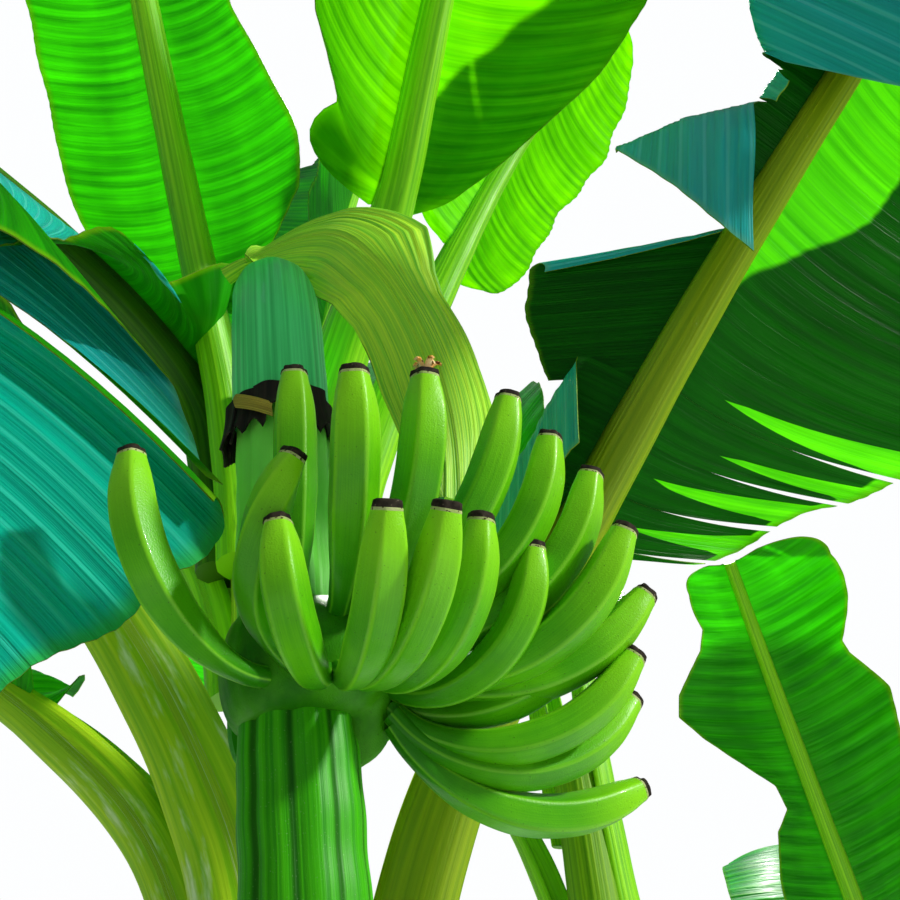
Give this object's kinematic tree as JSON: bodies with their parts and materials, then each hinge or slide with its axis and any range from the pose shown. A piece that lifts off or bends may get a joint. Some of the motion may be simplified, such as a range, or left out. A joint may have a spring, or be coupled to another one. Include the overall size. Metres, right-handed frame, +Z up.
{
  "type": "banana plant",
  "caption": "Banana plant in fruit: a leaning leaf-sheath stem with a crown of broad leaves, an arched fruit stalk with hands of green fingers, and side shoots from the same root.",
  "frame": {"origin": "centre of the flat ground cut under the bearing stem", "axes": "+Z up out of the level ground, -Y towards the side on which the fruit hangs, +X towards the side shoots"},
  "size_m": [2.9227, 2.3759, 3.6641],
  "materials": {
    "stem": "waxy, fibrous",
    "stalk": "smooth, waxy",
    "leaf": "glossy above, satin below",
    "fruit": "satin skin",
    "dried_sheath": "dry, torn",
    "bud": "waxy bracts"
  },
  "bodies": {
    "root": {"bract_scar": "fruit", "dried_collar": "dried_sheath", "finger_front_01": "fruit", "finger_front_02": "fruit", "finger_front_03": "fruit", "finger_front_04": "fruit", "finger_front_05": "fruit", "finger_front_06": "fruit", "finger_front_07": "fruit", "finger_front_08": "fruit", "finger_front_09": "fruit", "finger_front_10": "fruit", "finger_front_11": "fruit", "finger_upper_01": "fruit", "finger_upper_02": "fruit", "finger_upper_03": "fruit", "finger_upper_04": "fruit", "finger_upper_05": "fruit", "finger_upper_06": "fruit", "finger_upper_07": "fruit", "finger_upper_08": "fruit", "follower_leaf_back": "leaf", "follower_leaf_back_left": "leaf", "follower_leaf_right": "leaf", "follower_leaf_top": "leaf", "follower_stem": "stem", "fruit_stalk": "stalk", "fruit_stalk_arch": "stalk", "hand_cushion": "fruit", "hanging_bract": "leaf", "leaf_back": "leaf", "leaf_back_left": "leaf", "leaf_front": "leaf", "leaf_front_right": "leaf", "leaf_left_front": "leaf", "leaf_left_front_low": "leaf", "leaf_left_front_tip": "leaf", "leaf_left_high": "leaf", "leaf_left_low": "leaf", "leaf_right": "leaf", "leaf_right_high": "leaf", "leaf_top": "leaf", "lower_hand": "fruit", "male_bud": "bud", "pseudostem": "stem", "sucker_leaf_back": "leaf", "sucker_leaf_front": "leaf", "sucker_leaf_right": "leaf", "sucker_stem": "stem"}
  },
  "joints": []
}
